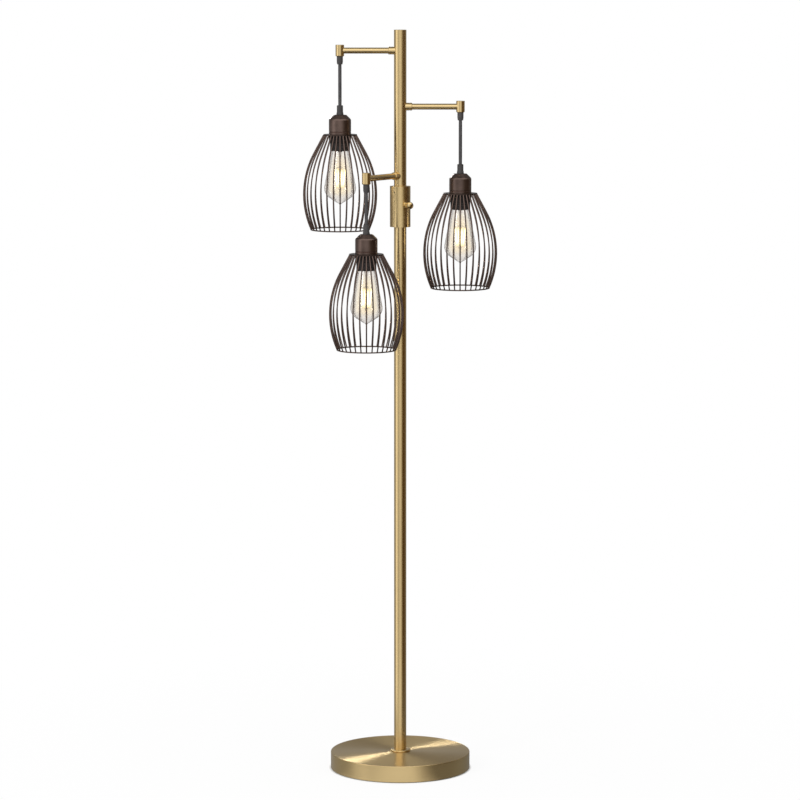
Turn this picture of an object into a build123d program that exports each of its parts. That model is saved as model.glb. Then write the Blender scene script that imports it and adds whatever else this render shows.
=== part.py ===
from build123d import *

import math
import os

# Wire cage floor lamp, in millimetres, +Z up. The origin is the centre of the foot pad's underside, on the
# pole's axis. The lamp's front faces -Y, and +X is to its right.
# Names that end in _radius or _diameter are outer sizes, and those that end in _bore are radii of holes.

# ---- Base ----
base_diameter = 285.0
base_height = 34.5  # floor to the cover's top face
base_edge_radius = 1.5  # rounding of the cover's top edge
cover_wall = 1.2
cover_lift = 1.5  # the cover's rim stays this far off the floor
pad_thickness = 3.0
pad_inset = 4.0  # the pad stands back from the cover's rim
neck_ring_radius = 21.0
neck_ring_height = 4.0
neck_ring_edge = 1.8
recess_radius = 30.0  # pocket for the nut, under the weight
recess_depth = 21.0
lead_slot_room = 2.0  # the slot for the lead is this much larger than its gland
nipple_radius = 5.0
nipple_bore = 3.0
nipple_grip = 14.0  # thread inside the pole's foot
nut_across_flats = 17.0
nut_height = 7.0
nut_thread_left = 1.0  # thread that shows past the nut
washer_radius = 14.0
washer_thickness = 2.0
lead_gland_radius = 5.0
lead_gland_bore = 3.0
lead_gland_inside = 7.0
lead_gland_outside = 4.0
lead_gland_flange = 1.0  # the flange stands this far past the gland's own radius
lead_gland_rise = 0.5  # the gland's underside above the pad

# ---- Pole ----
total_height = 1508.0
pole_radius = 12.5
pole_wall = 1.5
pole_foot_length = 16.0
cap_thickness = 2.5
cap_edge_radius = 0.6
cap_plug_length = 8.0

# ---- Switch ----
housing_gap = 13.25  # between the housing's top and the lowest arm's collar
housing_height = 82.0
housing_radius = 20.75
housing_wall = 1.5
housing_end = 3.0
spigot_length = 12.0
spigot_bore = 7.0
switch_rise = 45.0  # the switch's axis above the housing's bottom
switch_angle = -60.0  # degrees about the pole, from +X
switch_width = 19.0
switch_tall = 20.0
switch_back = 8.0  # the switch body reaches this far behind the pole's axis
bushing_radius = 4.5
collar_radius = 5.6
collar_length = 4.5
collar_edge = 0.6
shaft_radius = 2.95
shaft_depth = 6.0  # shaft inside the switch body
knob_foot_radius = 5.2
knob_neck_radius = 6.4  # the knob widens evenly from its foot to its head
knob_neck_length = 12.0
knob_groove = 0.8  # between the neck and the head
knob_groove_width = 1.0
knob_radius = 6.9
knob_rim = 2.6
knob_dome = 2.9
knob_shaft_grip = 10.0

# ---- Arms ----
arm_drop = {"left": 41.5, "right": 112.0, "front": 138.5}  # below the pole's top, or below the arm before
arm_angle = {"left": 180.0, "right": 0.0, "front": 236.2}  # degrees about the pole, from +X
arm_reach = 121.0  # pole axis to cord axis
arm_radius = 6.0
arm_bore = 3.5
arm_spigot_radius = 4.9
arm_spigot_length = 4.0  # the reduced end that passes through the pole's wall
arm_insert = 3.0  # how far the arm goes into its tip joint
arm_collar_radius = 7.75
arm_collar_length = 11.5
arm_collar_groove = 0.5
arm_collar_edge = 0.8
tip_radius = 8.6
tip_height = 23.0
tip_edge_radius = 0.6
tip_chamfer = 1.2
tip_bore = 5.0
tip_roof = 5.0

# ---- Cord, gland and relief ----
free_cord = {"left": 82.0, "right": 88.0, "front": 64.0}  # gland mouth to relief mouth
cord_twist = {"left": 1.0, "right": -1.0, "front": 0.6}  # degrees that each pendant has turned on its cord
cord_radius = 3.5
cord_end_length = 2.0  # the end past the point where the cord bends
cord_end_chamfer = 1.4
bend_depth = 1.5  # the cord bends this far inside each mouth
bend_room = 18.0  # degrees that the mouth leaves for the cord
mouth_lip = 0.9
wire_bore = 3.0
gland_radius = 6.2
gland_length = 16.0
gland_taper = 5.0
gland_spigot = 6.0
relief_radius = 6.2
relief_length = 19.0
relief_flare_radius = 7.2
relief_flare = 7.0
relief_foot = 1.0  # straight part of the flare, on the cup
relief_spigot = 4.0
relief_edge = 0.8
relief_spigot_radius = 4.9

# ---- Socket cup and socket ----
cup_radius = 22.3
cup_height = 39.0
cup_top_radius = 13.0
cup_shoulder = 9.0  # height of the sloping shoulder
cup_shoulder_round = 6.0  # where the shoulder meets the side
cup_top_round = 2.0
cup_wall = 1.0
cup_groove_height = 5.0
cup_groove = 0.5
socket_skirt_wall = 1.2
socket_drop = 33.0  # the socket's rim below the cage plate
socket_flange = 4.0
socket_body_radius = 17.0
socket_body_rise = 23.0  # above the flange's foot
socket_mouth_room = 0.9  # round the bulb's rim
socket_mouth_depth = 16.0
socket_bore = 14.3
socket_bore_depth = 37.0
contact_wall = 0.7
contact_radius = 5.0
contact_thickness = 1.0

# ---- Cage ----
wire_count = 34
wire_diameter = 3.0
wire_sides = 6
wire_phase = 0.5  # share of a step, so that one wire faces straight forward
plate_radius = 34.5
plate_thickness = 2.0
plate_edge = 0.5
plate_wire_inset = 1.8  # wire centres, from the plate's edge
shade_ring_wall = 2.25
shade_ring_height = 13.0
shade_ring_edge = 1.0
cage_radius = 75.3  # outside of the wires at the widest place
cage_widest_drop = 120.8
cage_arc_radius = 175.2  # outside of the wires
cage_height = 191.5  # plate top to the ring's centre
cage_arc_steps = 6
ring_sides = 8

# ---- Bulb ----
bulb_radius = 32.0
bulb_centre_drop = 75.0  # widest place, below the socket's rim
bulb_round = 24.0  # rounding at the widest place
bulb_end_slope = 33.0  # degrees that the end's cone stands off level
bulb_end_round = 12.5  # rounding of the end
bulb_rim_radius = 17.9
bulb_neck_rise = 14.0  # glass above the socket's rim
bulb_glass_wall = 0.9
bulb_tip_radius = 3.0
bulb_tip_length = 1.6
bulb_tip_end_radius = 1.8
bulb_cap_wall = 0.6
bulb_cap_taper = 3.0
bulb_contact_radius = 4.5
stem_seal = 1.0  # height of the stem's rim, where it is fused to the neck
stem_shoulder = 5.0  # the stem's foot narrows over this height
stem_flare_radius = 6.0
stem_flare_drop = 12.0
stem_radius = 2.5
stem_tail = 2.5  # the stem goes this far past the lowest lead
filament_count = 4
filament_turn = 20.0  # degrees, from the lamp's +X side to the first filament
filament_radius = 0.95
filament_top_radius = 11.0
filament_low_radius = 6.0
filament_top_drop = 36.5
filament_low_drop = 74.5
filament_lead = 5.0  # the leads leave the stem this far above and below the filament
filament_lead_radius = 0.4

# ---- Inner wires ----
mains_wire_radius = 2.25
mains_wire_bend = 5.0
branch_wire_radius = 1.6
branch_wire_offset = 4.3
branch_wire_bend = 6.0
tip_wire_bend = 4.0

# ---- Clearances ----
seat_gap = 0.05  # between round pieces of one body that fit together
loose_gap = 0.3  # between round pieces that turn or hang apart
face_gap = 0.3  # between the collar and the knob
cut_past = 1.0  # how far a cut runs past what it cuts
most_of_edge = 0.45  # the most of an edge's length that a rounding takes

UP = (Align.CENTER, Align.CENTER, Align.MIN)
SIDES = list(arm_drop)

base_radius = base_diameter / 2
lead_height = pad_thickness + lead_gland_rise + lead_gland_radius
pole_bore = pole_radius - pole_wall
pole_top = total_height - cap_thickness
arm_height = {"left": total_height - arm_drop["left"]}
arm_height["right"] = arm_height["left"] - arm_drop["right"]
arm_height["front"] = arm_height["right"] - arm_drop["front"]
housing_top = arm_height["front"] - arm_collar_radius - housing_gap
housing_bottom = housing_top - housing_height
housing_bore = housing_radius - housing_wall
switch_height = housing_bottom + switch_rise
switch_front = math.sqrt((housing_bore - loose_gap) ** 2 - (switch_width / 2) ** 2)
weight_top = base_height - cover_wall
recess_roof = pad_thickness + recess_depth
lid_radius = housing_bore - seat_gap
spigot_radius = pole_bore - 2 * seat_gap
gland_mouth_drop = tip_height / 2 + gland_length  # arm axis to the gland's mouth
rim_height = -socket_drop
socket_mouth_bore = bulb_rim_radius + socket_mouth_room
socket_radius = socket_mouth_bore + socket_skirt_wall
bulb_cap_radius = socket_bore - seat_gap - contact_wall - loose_gap
bulb_neck_radius = bulb_cap_radius - bulb_cap_wall / 2
shade_ring_radius = socket_radius + seat_gap + shade_ring_wall
wire_radius = wire_diameter / 2
plate_wire_radius = plate_radius - plate_wire_inset


def turned(*corners):
    """A solid of revolution about the vertical axis, from its half section's corners (radius, height)."""
    return revolve(Plane.XZ * make_face(Polyline(*corners, close=True)), Axis.Z)


def tube(outer, inner, bottom, top):
    """A round tube about the vertical axis, between two heights."""
    return turned((inner, bottom), (outer, bottom), (outer, top), (inner, top))


def rod(radius, bottom, top):
    """A round bar about the vertical axis, between two heights."""
    return Pos(0, 0, bottom) * Cylinder(radius, top - bottom, align=UP)


def lying(radius, start, end):
    """A round bar along +X, between two distances from the vertical axis."""
    return Pos(start, 0, 0) * Rot(0, 90, 0) * Cylinder(radius, end - start, align=UP)


def at_arm(side, solid):
    """A solid drawn with the arm along +X at height 0, moved to its own arm."""
    return Pos(0, 0, arm_height[side]) * Rot(0, 0, arm_angle[side]) * solid


def cord_axis(side):
    """Where the side's cord hangs."""
    angle = math.radians(arm_angle[side])
    return arm_reach * math.cos(angle), arm_reach * math.sin(angle)


def seat_height(side):
    """Height of the cage plate's top face, on which the socket cup stands."""
    return arm_height[side] - gland_mouth_drop - free_cord[side] - relief_length - cup_height


def at_pendant(side, solid):
    """A solid drawn about the pendant's axis, with the cage plate's top face at height 0."""
    x, y = cord_axis(side)
    return Pos(x, y, seat_height(side)) * Rot(0, 0, cord_twist[side]) * solid


def at_lead(solid):
    """A solid drawn with the lead along +X at height 0, moved to the back of the base."""
    return Pos(0, 0, lead_height) * Rot(0, 0, 90) * solid


def at_switch(solid):
    """A solid drawn with the switch's axis along +X at height 0, moved to the housing."""
    return Pos(0, 0, switch_height) * Rot(0, 0, switch_angle) * solid


# ---- Base ----
def base_cover():
    inner = base_radius - cover_wall
    hole = nipple_radius + seat_gap
    shell = turned((hole, base_height), (base_radius, base_height), (base_radius, cover_lift),
                   (inner, cover_lift), (inner, weight_top), (hole, weight_top))
    top_edge = shell.edges().filter_by(GeomType.CIRCLE).group_by(Axis.Z)[-1].sort_by(SortBy.RADIUS)[-1]
    shell = fillet(top_edge, min(base_edge_radius, most_of_edge * base_height))
    return shell - at_lead(lying(lead_gland_radius + seat_gap, base_radius - lead_gland_inside,
                                 base_radius + cut_past))


def base_weight():
    outer = base_radius - cover_wall - loose_gap
    disc = tube(outer, nipple_radius + loose_gap, pad_thickness, weight_top)
    recess = rod(recess_radius, pad_thickness, recess_roof)
    slot = Box(2 * (lead_gland_radius + lead_slot_room), base_radius, 2 * lead_gland_radius + lead_slot_room,
               align=(Align.CENTER, Align.MIN, Align.MIN))
    return disc - recess - Pos(0, 0, pad_thickness) * slot


def foot_pad():
    return rod(base_radius - pad_inset, 0, pad_thickness)


def neck_ring():
    ring = tube(neck_ring_radius, pole_radius + seat_gap, base_height, base_height + neck_ring_height)
    outer_edges = ring.edges().filter_by(GeomType.CIRCLE).sort_by(SortBy.RADIUS)[-2:]
    return fillet(outer_edges, min(neck_ring_edge, most_of_edge * neck_ring_height))


def base_nipple():
    bottom = recess_roof - washer_thickness - nut_height - nut_thread_left
    return tube(nipple_radius, nipple_bore, bottom, base_height + nipple_grip)


def base_nut_washer():
    washer_bottom = recess_roof - washer_thickness
    hole = nipple_radius + seat_gap
    washer = tube(washer_radius, hole, washer_bottom, recess_roof)
    nut = extrude(RegularPolygon(nut_across_flats / 2, 6, major_radius=False), nut_height)
    nut = Pos(0, 0, washer_bottom - nut_height) * nut - rod(hole, 0, washer_bottom)
    return [washer, nut]


def lead_gland():
    """The bushing through the back of the base, where the lead goes in."""
    inside = base_radius - lead_gland_inside
    body = lying(lead_gland_radius, inside, base_radius)
    flange = lying(lead_gland_radius + lead_gland_flange, base_radius, base_radius + lead_gland_outside)
    flange = chamfer(flange.edges().filter_by(GeomType.CIRCLE).sort_by(Axis.X)[-1], lead_gland_flange)
    bore = lying(lead_gland_bore, inside - cut_past, base_radius + lead_gland_outside + cut_past)
    return at_lead(body + flange - bore)


# ---- Pole ----
def arm_holes():
    """The holes through the pole's wall for the arms' reduced ends."""
    return [at_arm(side, lying(arm_spigot_radius + seat_gap, 0, pole_radius + cut_past)) for side in SIDES]


def lower_pole():
    wall = tube(pole_radius, pole_bore, base_height, housing_bottom)
    foot = tube(pole_bore, nipple_radius + seat_gap, base_height, base_height + pole_foot_length)
    return wall + foot


def upper_pole():
    return tube(pole_radius, pole_bore, housing_top, pole_top) - arm_holes()


def pole_cap():
    disc = rod(pole_radius, pole_top, total_height)
    disc = fillet(disc.edges().group_by(Axis.Z)[-1], cap_edge_radius)
    return disc + rod(pole_bore - seat_gap, pole_top - cap_plug_length, pole_top)


# ---- Switch ----
def switch_housing():
    can = tube(housing_radius, housing_bore, housing_bottom, housing_top)
    floor = tube(housing_bore, spigot_bore, housing_bottom, housing_bottom + housing_end)
    spigot = tube(spigot_radius, spigot_bore, housing_bottom - spigot_length, housing_bottom)
    return can + floor + spigot - at_switch(lying(bushing_radius + seat_gap, 0, housing_radius + cut_past))


def housing_lid():
    disc = tube(lid_radius, spigot_bore, housing_top - housing_end, housing_top)
    return disc + tube(spigot_radius, spigot_bore, housing_top, housing_top + spigot_length)


def bushing_end():
    return housing_radius + collar_length + face_gap


def switch_body():
    """The rotary switch, its threaded bushing and the bore that its shaft turns in."""
    block = Pos(-switch_back, 0, 0) * Box(switch_front + switch_back, switch_width, switch_tall,
                                          align=(Align.MIN, Align.CENTER, Align.CENTER))
    bushing = lying(bushing_radius, switch_front, bushing_end() - face_gap)
    bore = lying(shaft_radius + seat_gap, switch_front - shaft_depth - loose_gap, bushing_end())
    return at_switch(block + bushing - bore)


def switch_collar():
    ring = lying(collar_radius, housing_bore, housing_radius + collar_length)
    ring = chamfer(ring.edges().filter_by(GeomType.CIRCLE).sort_by(Axis.X)[-1], collar_edge)
    outside = ring - rod(housing_radius, -collar_radius - cut_past, collar_radius + cut_past)
    return at_switch(outside - lying(bushing_radius + seat_gap, 0, housing_radius + collar_length + cut_past))


def switch_knob():
    start = bushing_end()
    neck_end = start + knob_neck_length
    head = neck_end + knob_groove_width
    rim_end = head + knob_rim
    front = rim_end + knob_dome
    dome_radius = (knob_radius ** 2 + knob_dome ** 2) / (2 * knob_dome)
    half = math.asin(knob_radius / dome_radius) / 2
    middle = (dome_radius * math.sin(half), front - dome_radius * (1 - math.cos(half)))
    dome = ThreePointArc((knob_radius, rim_end), middle, (0, front))
    groove_radius = knob_neck_radius - knob_groove
    outline = Polyline((0, front), (0, start), (knob_foot_radius, start), (knob_neck_radius, neck_end),
                       (groove_radius, neck_end), (groove_radius, head), (knob_radius, head),
                       (knob_radius, rim_end))
    solid = revolve(Plane.XZ * make_face(outline + dome), Axis.Z)
    solid -= rod(shaft_radius, start - cut_past, start + knob_shaft_grip)
    return at_switch(Rot(0, 90, 0) * solid)


def switch_shaft():
    return at_switch(lying(shaft_radius, switch_front - shaft_depth, bushing_end() + knob_shaft_grip))


# ---- Arms ----
def arm(side):
    inner_end = pole_bore - arm_spigot_length + pole_wall
    outer_end = arm_reach - tip_radius + arm_insert
    pole = rod(pole_radius + seat_gap, -arm_radius - cut_past, arm_radius + cut_past)
    bar = lying(arm_radius, 0, outer_end) - pole
    spigot = lying(arm_spigot_radius, inner_end, pole_radius + arm_collar_length)
    return at_arm(side, bar + spigot - lying(arm_bore, 0, outer_end + cut_past))


def arm_collar():
    """The round nut where an arm meets the pole, cut to the pole's curve."""
    end = pole_radius + arm_collar_length
    middle = pole_radius + arm_collar_length / 2
    nut = lying(arm_collar_radius, 0, end)
    nut = chamfer(nut.edges().filter_by(GeomType.CIRCLE).sort_by(Axis.X)[-1], arm_collar_edge)
    groove = lying(arm_collar_radius + cut_past, middle - arm_collar_groove, middle + arm_collar_groove)
    groove -= lying(arm_collar_radius - arm_collar_groove, 0, end)
    pole = rod(pole_radius + seat_gap, -arm_collar_radius - cut_past, arm_collar_radius + cut_past)
    return nut - groove - pole - lying(arm_radius + seat_gap, 0, end + cut_past)


def tip_joint():
    """The upright cylinder at an arm's end: the wire comes in from the arm and leaves at the bottom."""
    body = rod(tip_radius, -tip_height / 2, tip_height / 2)
    body = fillet(body.edges().group_by(Axis.Z)[-1], tip_edge_radius)
    body = chamfer(body.edges().group_by(Axis.Z)[0], tip_chamfer)
    body -= rod(tip_bore, -tip_height / 2, tip_height / 2 - tip_roof)
    body -= lying(arm_radius + seat_gap, -tip_radius - cut_past, -tip_radius + arm_insert)
    return Pos(arm_reach, 0, 0) * (body - lying(arm_bore, -tip_radius, 0))


def mouth():
    """Room for the cord's end, drawn with the cord leaving downwards and the mouth's face at height 0."""
    wide = cord_radius + loose_gap
    lean = math.tan(math.radians(bend_room))
    low = wide / math.cos(math.radians(bend_room)) + bend_depth * lean
    return turned((0, 0), (low, 0), (wide, bend_depth), (wide, bend_depth + wide), (0, bend_depth + wide))


def mouth_radius():
    """Outer radius at a mouth: the room for the leaning cord, and a lip."""
    room = math.radians(bend_room)
    return (cord_radius + loose_gap) / math.cos(room) + bend_depth * math.tan(room) + mouth_lip


def cord_gland():
    body = turned((0, 0), (mouth_radius(), 0), (gland_radius, gland_taper), (gland_radius, gland_length),
                  (tip_bore - seat_gap, gland_length), (tip_bore - seat_gap, gland_length + gland_spigot),
                  (0, gland_length + gland_spigot))
    body -= mouth()
    body -= rod(wire_bore, 0, gland_length + gland_spigot + cut_past)
    return Pos(arm_reach, 0, -gland_mouth_drop) * body


# ---- Inner wires ----
def wire_along(radius, bends, *points):
    """A round wire along straight runs, with a bend at each corner."""
    route = FilletPolyline(*points, radius=bends)
    return sweep(Plane(route @ 0, z_dir=route % 0) * Circle(radius), path=route)


def inner_wires():
    """The mains wire from the gland to the switch, and a branch wire from the switch to each gland."""
    switch_floor = switch_height - switch_tall / 2
    switch_roof = switch_height + switch_tall / 2
    lead_start = base_radius - lead_gland_inside
    wires = [wire_along(mains_wire_radius, mains_wire_bend, (0, lead_start, lead_height), (0, 0, lead_height),
                        (0, 0, switch_floor))]
    for side in SIDES:
        start = switch_roof - arm_height[side]
        end = -gland_mouth_drop + bend_depth + cord_radius + loose_gap
        wire = wire_along(branch_wire_radius, [branch_wire_bend, tip_wire_bend],
                          (branch_wire_offset, 0, start), (branch_wire_offset, 0, 0),
                          (arm_reach, 0, 0), (arm_reach, 0, end))
        wires.append(at_arm(side, wire))
    return wires


# ---- Cord and socket cup ----
def cord(side):
    """The free cord, with both ends just past the points where it bends."""
    bottom = cup_height + relief_length - bend_depth - cord_end_length
    top = cup_height + relief_length + free_cord[side] + bend_depth + cord_end_length
    body = rod(cord_radius, bottom, top)
    return at_pendant(side, chamfer(body.edges().filter_by(GeomType.CIRCLE), cord_end_chamfer))


def cord_relief():
    """The sleeve that grips the cord on top of the cup."""
    top = cup_height + relief_length
    flare_top = cup_height + relief_flare
    body = turned((0, cup_height - relief_spigot), (relief_spigot_radius, cup_height - relief_spigot),
                  (relief_spigot_radius, cup_height), (relief_flare_radius, cup_height),
                  (relief_flare_radius, cup_height + relief_foot), (relief_radius, flare_top),
                  (relief_radius, top - relief_edge), (relief_radius - relief_edge, top), (0, top))
    body -= Pos(0, 0, top) * Rot(180, 0, 0) * mouth()
    return body - rod(wire_bore, 0, top)


def cup_outline(inset):
    """The cup as a filled shape down to height 0, drawn inset from its outside by a wall."""
    top = cup_height - inset
    turn = math.atan2(cup_shoulder, cup_radius - cup_top_radius)
    flat = cup_top_radius - inset * math.tan(turn / 2)
    edge = cup_radius - inset
    low = top - (edge - flat) * math.tan(turn)
    shape = turned((0, 0), (edge, 0), (edge, low), (flat, top), (0, top))
    levels = shape.edges().filter_by(GeomType.CIRCLE).group_by(Axis.Z)
    shape = fillet(levels[1], cup_shoulder_round - inset)
    levels = shape.edges().filter_by(GeomType.CIRCLE).group_by(Axis.Z)
    return fillet(levels[-1], cup_top_round - inset)


def socket_cup():
    cup = cup_outline(0) - cup_outline(cup_wall)
    ring = tube(cup_radius + cut_past, cup_radius - cup_groove, cup_groove_height - cup_groove,
                cup_groove_height + cup_groove)
    return cup - ring - rod(relief_spigot_radius + seat_gap, 0, cup_height + cut_past)


def socket():
    """The insulating socket: a threaded skirt, a flange inside the cup and the terminal block above."""
    flange_radius = cup_radius - cup_wall - seat_gap
    body = turned((0, rim_height), (socket_radius, rim_height), (socket_radius, 0), (flange_radius, 0),
                  (flange_radius, socket_flange), (socket_body_radius, socket_flange),
                  (socket_body_radius, socket_body_rise), (0, socket_body_rise))
    body -= rod(socket_mouth_bore, rim_height, rim_height + socket_mouth_depth)
    return body - rod(socket_bore, rim_height, rim_height + socket_bore_depth)


def socket_contacts():
    """The screw shell, and the centre contact at the end of the socket's bore."""
    outer = socket_bore - seat_gap
    end = rim_height + socket_bore_depth
    shell = tube(outer, outer - contact_wall, rim_height + socket_mouth_depth, end)
    return [shell, rod(contact_radius, end - contact_thickness, end)]


# ---- Cage ----
def shade_ring():
    ring = tube(shade_ring_radius, socket_radius + seat_gap, -plate_thickness - shade_ring_height,
                -plate_thickness)
    outer_edges = ring.edges().filter_by(GeomType.CIRCLE).sort_by(SortBy.RADIUS)[-2:]
    return chamfer(outer_edges, shade_ring_edge)


def cage_plate():
    disc = tube(plate_radius, socket_radius + seat_gap, -plate_thickness, 0)
    return chamfer(disc.edges().group_by(Axis.Z)[-1].sort_by(SortBy.RADIUS)[-1], plate_edge)


def cage_path():
    """Corners of a wire's centre line: straight from the plate, then an arc that ends on the bottom ring."""
    radius = cage_arc_radius - wire_radius
    centre = cage_radius - wire_radius - radius
    rise = cage_widest_drop - plate_thickness
    reach = plate_wire_radius - centre
    start = math.atan2(rise, reach) - math.acos(radius / math.hypot(rise, reach))
    end = -math.asin((cage_height - wire_radius - cage_widest_drop) / radius)
    angles = [start + (end - start) * step / cage_arc_steps for step in range(cage_arc_steps + 1)]
    arc = [(centre + radius * math.cos(a), radius * math.sin(a) - cage_widest_drop) for a in angles]
    return [(plate_wire_radius, -plate_thickness)] + arc


def ring_centre_radius():
    """Where the arc's centre line meets the bottom ring's own level."""
    radius = cage_arc_radius - wire_radius
    drop = cage_height - cage_widest_drop
    return cage_radius - wire_radius - radius + math.sqrt(radius ** 2 - drop ** 2)


def mitred(before, here, after):
    """Across direction and stretch of a section that halves the corner between two runs."""
    runs = [(x1 - x0, z1 - z0) for (x0, z0), (x1, z1) in ((before, here), (here, after))]
    units = [(x / math.hypot(x, z), z / math.hypot(x, z)) for x, z in runs]
    along = (units[0][0] + units[1][0], units[0][1] + units[1][1])
    size = math.hypot(*along)
    across = (-along[1] / size, along[0] / size)
    return across, 2 / size


def cage_wire():
    """One bent wire in the XZ plane, of a polygon section with the round wire's area. Both ends are level."""
    path = cage_path()
    corner = wire_radius * math.sqrt(2 * math.pi / (wire_sides * math.sin(2 * math.pi / wire_sides)))
    turns = [2 * math.pi * (k + 0.5) / wire_sides for k in range(wire_sides)]
    rings = []
    for i, (x, z) in enumerate(path):
        if 0 < i < len(path) - 1:
            across, stretch = mitred(path[i - 1], path[i], path[i + 1])
        else:
            near = path[1] if i == 0 else path[-2]
            across = (1.0, 0.0)
            stretch = math.hypot(near[0] - x, near[1] - z) / abs(near[1] - z)
        rings.append([(x + across[0] * stretch * corner * math.cos(a), corner * math.sin(a),
                       z + across[1] * stretch * corner * math.cos(a)) for a in turns])
    faces = [Face(Wire.make_polygon(rings[0])), Face(Wire.make_polygon(rings[-1]))]
    for low, high in zip(rings, rings[1:]):
        for k in range(wire_sides):
            n = (k + 1) % wire_sides
            faces.append(Face(Wire.make_polygon([low[k], low[n], high[n], high[k]])))
    return Solid(Shell(faces))


def cage_wires():
    wire = cage_wire()
    return [Rot(0, 0, 360 * (k + wire_phase) / wire_count) * wire for k in range(wire_count)]


def cage_ring():
    centre = ring_centre_radius()
    corners = [2 * math.pi * k / ring_sides for k in range(ring_sides)]
    return turned(*[(centre + wire_radius * math.cos(a), -cage_height + wire_radius * math.sin(a))
                    for a in corners])


# ---- Bulb ----
def bulb_end_height():
    """Height of the centre of the bulb's rounded end."""
    slope = math.radians(bulb_end_slope)
    cone = (bulb_radius - bulb_round) * math.sin(slope) + bulb_round
    return rim_height - bulb_centre_drop - (cone - bulb_end_round) / math.cos(slope)


def bulb_outline(inset):
    """The bulb from neck to tip, inset by the glass wall: flank, round, cone and rounded end run together."""
    middle = bulb_radius - bulb_round
    centre = rim_height - bulb_centre_drop
    rim = bulb_rim_radius - inset
    rounding = bulb_round - inset
    end_radius = bulb_end_round - inset
    end_centre = bulb_end_height()

    def on_round(angle):
        return middle + rounding * math.cos(angle), centre + rounding * math.sin(angle)

    def on_end(angle):
        return end_radius * math.cos(angle), end_centre + end_radius * math.sin(angle)

    reach = math.hypot(bulb_centre_drop, rim - middle)
    start = math.atan2(bulb_centre_drop, rim - middle) - math.acos(rounding / reach)
    low = math.radians(bulb_end_slope) - math.pi / 2
    down = -math.pi / 2
    neck = (bulb_neck_radius - inset, rim_height + bulb_neck_rise)
    widest = ThreePointArc(on_round(start), on_round((start + low) / 2), on_round(low))
    cone = Line(on_round(low), on_end(low))
    end = ThreePointArc(on_end(low), on_end((low + down) / 2), on_end(down))
    sides = Polyline(on_end(down), (0, neck[1]), neck, (rim, rim_height), on_round(start))
    return revolve(Plane.XZ * make_face(sides + widest + cone + end), Axis.Z)


def bulb_glass():
    """The envelope, its pinched tip and the glass stem that carries the filaments."""
    glass = bulb_outline(0) - bulb_outline(bulb_glass_wall)
    low = bulb_end_height() - bulb_end_round
    glass += turned((0, low + bulb_glass_wall / 2), (bulb_tip_radius, low + bulb_glass_wall / 2),
                    (bulb_tip_end_radius, low - bulb_tip_length), (0, low - bulb_tip_length))
    neck_top = rim_height + bulb_neck_rise
    seal_radius = bulb_neck_radius - bulb_glass_wall / 2
    flare_low = rim_height - stem_flare_drop
    stem_low = rim_height - filament_low_drop - filament_lead - stem_tail
    stem = turned((0, neck_top), (seal_radius, neck_top), (seal_radius, neck_top - stem_seal),
                  (stem_flare_radius, neck_top - stem_shoulder), (stem_radius, flare_low),
                  (stem_radius, stem_low), (0, stem_low))
    return glass + stem


def bulb_cap():
    """The hollow screw cap, with its tip on the socket's centre contact."""
    low = rim_height + bulb_neck_rise
    tip = rim_height + socket_bore_depth - contact_thickness
    shoulder = tip - bulb_cap_taper
    inside = bulb_cap_radius - bulb_cap_wall
    return turned((bulb_cap_radius, low), (bulb_cap_radius, shoulder - bulb_cap_taper),
                  (bulb_contact_radius, shoulder), (bulb_contact_radius, tip), (0, tip),
                  (0, shoulder - bulb_cap_wall), (bulb_contact_radius, shoulder - bulb_cap_wall),
                  (inside, shoulder - bulb_cap_taper - bulb_cap_wall), (inside, low))


def bar(radius, start, end):
    """A round bar from one point to another."""
    along = Vector(*end) - Vector(*start)
    return Plane(origin=start, z_dir=along) * Cylinder(radius, along.length, align=UP)


def filament():
    """One glowing stick in the XZ plane, with the two leads that hold it to the stem."""
    top = (filament_top_radius, 0, rim_height - filament_top_drop)
    low = (filament_low_radius, 0, rim_height - filament_low_drop)
    upper_root = (0, 0, top[2] + filament_lead)
    lower_root = (0, 0, low[2] - filament_lead)
    stick = bar(filament_radius, top, low)
    leads = bar(filament_lead_radius, upper_root, top) + bar(filament_lead_radius, low, lower_root)
    return stick + leads - rod(stem_radius, lower_root[2] - stem_radius, upper_root[2] + stem_radius)


def filaments():
    stick = filament()
    return [Rot(0, 0, filament_turn + 360 * k / filament_count) * stick for k in range(filament_count)]


# ---- The lamp ----
def stand_parts():
    """Everything that stands still."""
    parts = {
        "base_cover": base_cover(), "base_weight": base_weight(), "foot_pad": foot_pad(),
        "neck_ring": neck_ring(), "base_nipple": base_nipple(), "base_nut_washer": base_nut_washer(),
        "lead_gland": lead_gland(), "lower_pole": lower_pole(), "upper_pole": upper_pole(),
        "pole_cap": pole_cap(), "switch_housing": switch_housing(), "housing_lid": housing_lid(),
        "switch_body": switch_body(), "switch_collar": switch_collar(), "inner_wires": inner_wires(),
        "arm_collars": [at_arm(side, arm_collar()) for side in SIDES],
        "tip_joints": [at_arm(side, tip_joint()) for side in SIDES],
        "cord_glands": [at_arm(side, cord_gland()) for side in SIDES],
    }
    parts.update({f"arm_{side}": arm(side) for side in SIDES})
    return parts


def pendant_parts():
    """The pieces that hang from each arm. The three pendants are alike, apart from their cords."""
    shapes = {
        "cord_relief": cord_relief(), "socket_cup": socket_cup(), "socket": socket(),
        "socket_contacts": socket_contacts(), "shade_ring": shade_ring(), "cage_plate": cage_plate(),
        "cage_wires": cage_wires(), "cage_ring": cage_ring(), "bulb_glass": bulb_glass(),
        "bulb_cap": bulb_cap(), "filaments": filaments(),
    }
    parts = {f"cord_{side}": cord(side) for side in SIDES}
    for side in SIDES:
        for name, shape in shapes.items():
            solids = shape if isinstance(shape, list) else [shape]
            parts[f"{name}_{side}"] = [at_pendant(side, solid) for solid in solids]
    return parts


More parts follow.
